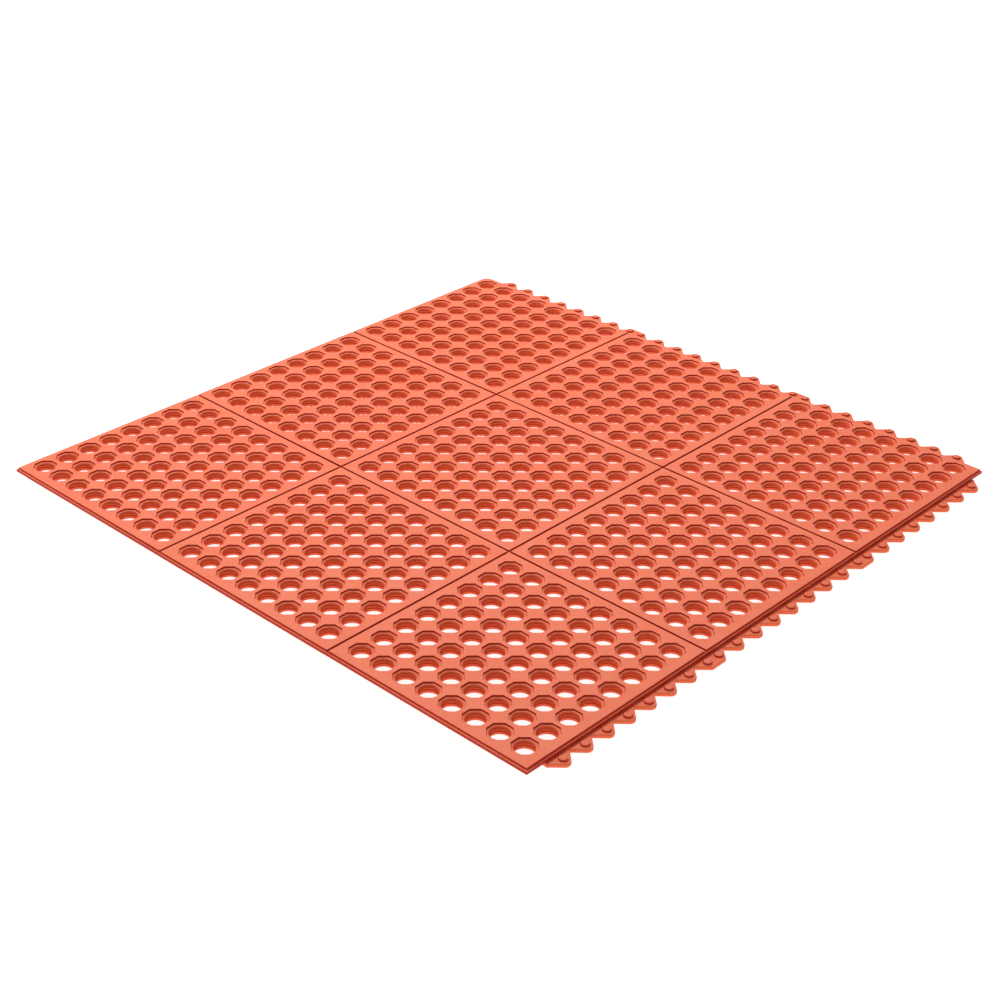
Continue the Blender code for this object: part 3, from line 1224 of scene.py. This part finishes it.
class MAT_OT_bridge_tabs(bpy.types.Operator):
    """Make the wide tabs with two knobs at the ends of the grooves"""

    bl_idname = "drainage_mat.make_bridge_tabs"
    bl_label = "Make bridge tabs"

    def execute(self, context):
        sizes = context.scene.mat_tabs
        pitch = context.scene.mat_deck.pitch
        rubber = rubber_material("edge_rubber", context.scene.mat_rubber)
        half = GROOVE_LINE - sizes.tabs * pitch / 2
        outline = plate_outline(sizes, half, sizes.bridge_half, sizes.bridge_tip)
        knob = new_object("knob", knob_mesh(sizes, sizes.knob_place))
        tree = row_tree()
        # Which way along its run each groove lies
        signs = {"south": -1, "north": 1, "west": 1, "east": -1}
        for north in (False, True):
            turn, way = side_frame(north)
            for side in GROOVES_ALONG if north else GROOVES_ACROSS:
                node = f"bridge_tab_{'north' if north else 'east'}_{side}"
                plate = plate_mesh(node, sizes, outline, BORDER + INSIDE)
                sign = signs[side]
                work = bmesh.new()
                work.from_mesh(plate)
                seal(work)
                rotation = Quaternion((0, 0, 1), turn[2]).to_matrix()
                bmesh.ops.rotate(work, verts=work.verts, matrix=rotation)
                bmesh.ops.translate(work, verts=work.verts, vec=way * sign * GROOVE_LINE)
                work.to_mesh(plate)
                work.free()
                tab = new_object(f"moulded_{node}", plate)
                pair = {
                    "Shape": knob,
                    "Count": 2,
                    "Start": way * (sign * GROOVE_LINE - sizes.bridge_knob),
                    "Step": way * 2 * sizes.bridge_knob,
                    "Turn": turn,
                    "Rubber": rubber,
                }
                set_inputs(tab, tree, pair)
                realised(tab)
                if north:
                    bend(tab, node)
                else:
                    carry(tab, node)
        bpy.data.objects.remove(knob)
        return {"FINISHED"}


# ---- Stage ----

FLOOR_HALF = 12.0
FLOOR_ROUGHNESS = 0.9
WHITE = (1.0, 1.0, 1.0, 1.0)

# Between these two heights of a look, the pale walls pass into the ceiling
WALL_LIMITS = (0.3, 0.6)

# Where the two soft lights stand, and how wide they are
KEY_PLACE, KEY_WIDTH = (-1.7, -0.5, 2.8), 0.8
TOP_PLACE, TOP_WIDTH = (-1.0, 0.8, 2.3), 1.4


def floor_material(settings):
    """A pale matt floor that glows faintly, like a lit table."""
    material = bpy.data.materials.new("pale_floor")
    material.use_nodes = True
    shader = material.node_tree.nodes["Principled BSDF"].inputs
    shader["Base Color"].default_value = (*settings.floor, 1.0)
    shader["Roughness"].default_value = FLOOR_ROUGHNESS
    shader["Emission Color"].default_value = WHITE
    shader["Emission Strength"].default_value = settings.floor_glow
    return material


def studio_world(settings):
    """Pale walls round the stage, up to a dimmer ceiling."""
    world = bpy.data.worlds.new("studio")
    world.use_nodes = True
    tree = world.node_tree
    background = tree.nodes["Background"].inputs
    background["Color"].default_value = WHITE
    look = height_of(tree, add_node(tree, "ShaderNodeTexCoord").outputs["Generated"])
    strength = ramp(tree, look, *WALL_LIMITS, settings.horizon, settings.sky, "SMOOTHSTEP")
    tree.links.new(strength, background["Strength"])
    return world


def soft_light(name, place, size, power):
    """A square soft light that faces the middle of the mat."""
    light = bpy.data.lights.new(name, "AREA")
    light.size = size
    light.energy = power
    obj = bpy.data.objects.new(name, light)
    bpy.context.scene.collection.objects.link(obj)
    obj.location = place
    obj.rotation_mode = "QUATERNION"
    obj.rotation_quaternion = (-Vector(place)).to_track_quat("-Z", "Y")


class MAT_OT_stage(bpy.types.Operator):
    """Make the floor, the lights and the camera"""

    bl_idname = "drainage_mat.make_stage"
    bl_label = "Make stage"

    def execute(self, context):
        settings = context.scene.mat_stage
        work = bmesh.new()
        bmesh.ops.create_grid(work, x_segments=2, y_segments=2, size=FLOOR_HALF)
        floor = new_object("floor", mesh_from(work, "floor"))
        floor.data.materials.append(floor_material(settings))
        context.scene.world = studio_world(settings)
        soft_light("key_light", KEY_PLACE, KEY_WIDTH, settings.key)
        soft_light("top_light", TOP_PLACE, TOP_WIDTH, settings.key * settings.top_share)
        back = Vector(
            (
                math.sin(settings.azimuth) * math.cos(settings.elevation),
                -math.cos(settings.azimuth) * math.cos(settings.elevation),
                math.sin(settings.elevation),
            )
        )
        data = bpy.data.cameras.new("camera")
        data.lens = settings.lens
        data.shift_x, data.shift_y = settings.shift
        camera = bpy.data.objects.new("camera", data)
        context.scene.collection.objects.link(camera)
        camera.location = settings.place
        camera.rotation_mode = "QUATERNION"
        aim = (-back).to_track_quat("-Z", "Y")
        camera.rotation_quaternion = aim @ Quaternion((0, 0, 1), settings.roll)
        context.scene.camera = camera
        context.scene.view_settings.view_transform = "Standard"
        return {"FINISHED"}


# ---- Panel, registration and run ----

SETTINGS = {
    "mat_deck": DeckSizes,
    "mat_edges": EdgeSizes,
    "mat_tabs": TabSizes,
    "mat_rubber": RubberColours,
    "mat_stage": StageSettings,
}
OPERATORS = (
    MAT_OT_panels,
    MAT_OT_cross_webs,
    MAT_OT_fold_webs,
    MAT_OT_lips,
    MAT_OT_tab_edges,
    MAT_OT_bridge_tabs,
    MAT_OT_stage,
)


class MAT_PT_sidebar(bpy.types.Panel):
    """Lists the mat's settings and the steps that make it"""

    bl_idname = "MAT_PT_sidebar"
    bl_label = "Drainage Mat"
    bl_space_type = "VIEW_3D"
    bl_region_type = "UI"
    bl_category = "Drainage Mat"

    def draw(self, context):
        for name, group in SETTINGS.items():
            box = self.layout.box()
            box.label(text=name.replace("_", " ").capitalize())
            for key in group.__annotations__:
                box.prop(getattr(context.scene, name), key)
        for operator in OPERATORS:
            self.layout.operator(operator.bl_idname)


CLASSES = (*SETTINGS.values(), *OPERATORS, MAT_PT_sidebar)


def register():
    """Register the classes and hang each group of settings on the scene."""
    for cls in CLASSES:
        bpy.utils.register_class(cls)
    for name, group in SETTINGS.items():
        setattr(bpy.types.Scene, name, PointerProperty(type=group))


def unregister():
    """Take back what register did."""
    for name in SETTINGS:
        delattr(bpy.types.Scene, name)
    for cls in reversed(CLASSES):
        bpy.utils.unregister_class(cls)


def main():
    """Run every step in order."""
    register()
    for operator in OPERATORS:
        family, step = operator.bl_idname.split(".")
        getattr(getattr(bpy.ops, family), step)()


if __name__ == "__main__":
    main()
